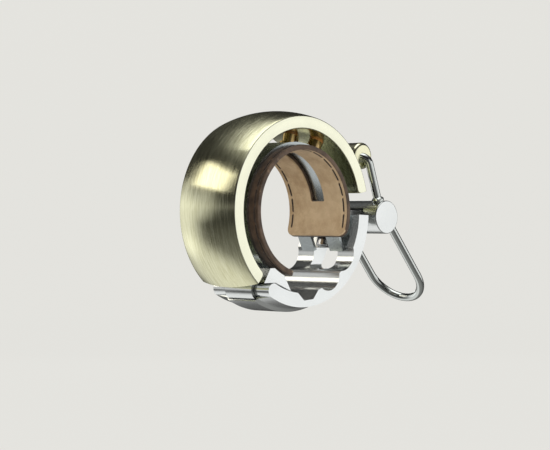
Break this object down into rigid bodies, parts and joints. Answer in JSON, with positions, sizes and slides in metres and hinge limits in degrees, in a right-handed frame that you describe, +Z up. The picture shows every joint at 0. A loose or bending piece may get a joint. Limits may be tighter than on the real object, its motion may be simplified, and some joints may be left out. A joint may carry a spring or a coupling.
{
  "type": "bicycle bell",
  "caption": "Wrap-round bicycle bell: a brass C-ring on a leather-lined handlebar clamp, with a sprung wire striker on an axle, a hammer and a looped trigger.",
  "frame": {"origin": "on the handlebar's axis, at the middle of the bell's width", "axes": "+Y along the handlebar, away from the bell's front face; +X towards the striker; +Z up, towards the ring's top"},
  "size_m": [0.0796, 0.0216, 0.0525],
  "materials": {
    "bell_brass": "brushed round the rim, polished edges",
    "hammer_brass": "polished",
    "post_brass": "turned",
    "amber_pad": "satin",
    "screw_steel": "plain",
    "band_steel": "brushed round the bar",
    "liner_leather": "natural tan inside, dark brown outside",
    "stitch_thread": "twisted thread",
    "polished_alloy": "polished",
    "barrel_alloy": "polished",
    "stop_rubber": "matt",
    "spring_steel": "plain",
    "wire_steel": "bright"
  },
  "bodies": {
    "clamp": {"resonator_ring": "bell_brass", "resonator_posts": "post_brass", "damping_pads": "amber_pad", "resonator_screws": "screw_steel", "clamp_band": "band_steel", "band_ramp": "band_steel", "bracket_rivets": "screw_steel", "leather_liner": "liner_leather", "front_stitching": "stitch_thread", "rear_stitching": "stitch_thread", "hinge_bracket": "polished_alloy", "hinge_pin": "screw_steel"},
    "arm": {"lower_arm": "polished_alloy", "striker_axle": "screw_steel", "striker_stop": "stop_rubber", "return_spring": "spring_steel"},
    "clamp_screw": {"clamp_screw": "screw_steel", "screw_washer": "screw_steel"},
    "clamp_nut": {"clamp_nut": "screw_steel"},
    "striker": {"striker_barrel": "barrel_alloy", "barrel_plug": "barrel_alloy", "trigger_loop": "wire_steel", "hammer_wire": "wire_steel", "hammer": "hammer_brass"}
  },
  "joints": [
    {"name": "arm_hinge", "type": "hinge", "parent": "clamp", "child": "arm", "pos_m": [-0.011, 0, -0.02026], "axis": [0, 1, 0], "range_deg": [0, 60]},
    {"name": "clamp_screw_turn", "type": "hinge", "parent": "arm", "child": "clamp_screw", "pos_m": [0.01955, 0, -0.00487], "axis": [-0.2419, 0, -0.9703], "range_deg": [0, 961]},
    {"name": "clamp_nut_slide", "type": "slide", "parent": "arm", "child": "clamp_nut", "axis": [0.2419, 0, 0.9703], "range_m": [0, 0.0012]},
    {"name": "striker_pivot", "type": "hinge", "parent": "arm", "child": "striker", "pos_m": [0.0323, 0, -0.0016], "axis": [0, 1, 0], "range_deg": [-1.7, 25], "stiffness_Nm_per_rad": 0.12}
  ],
  "couplings": [
    {"joint": "clamp_screw_turn", "follows": "clamp_nut_slide", "rad_per_m": 13963}
  ]
}
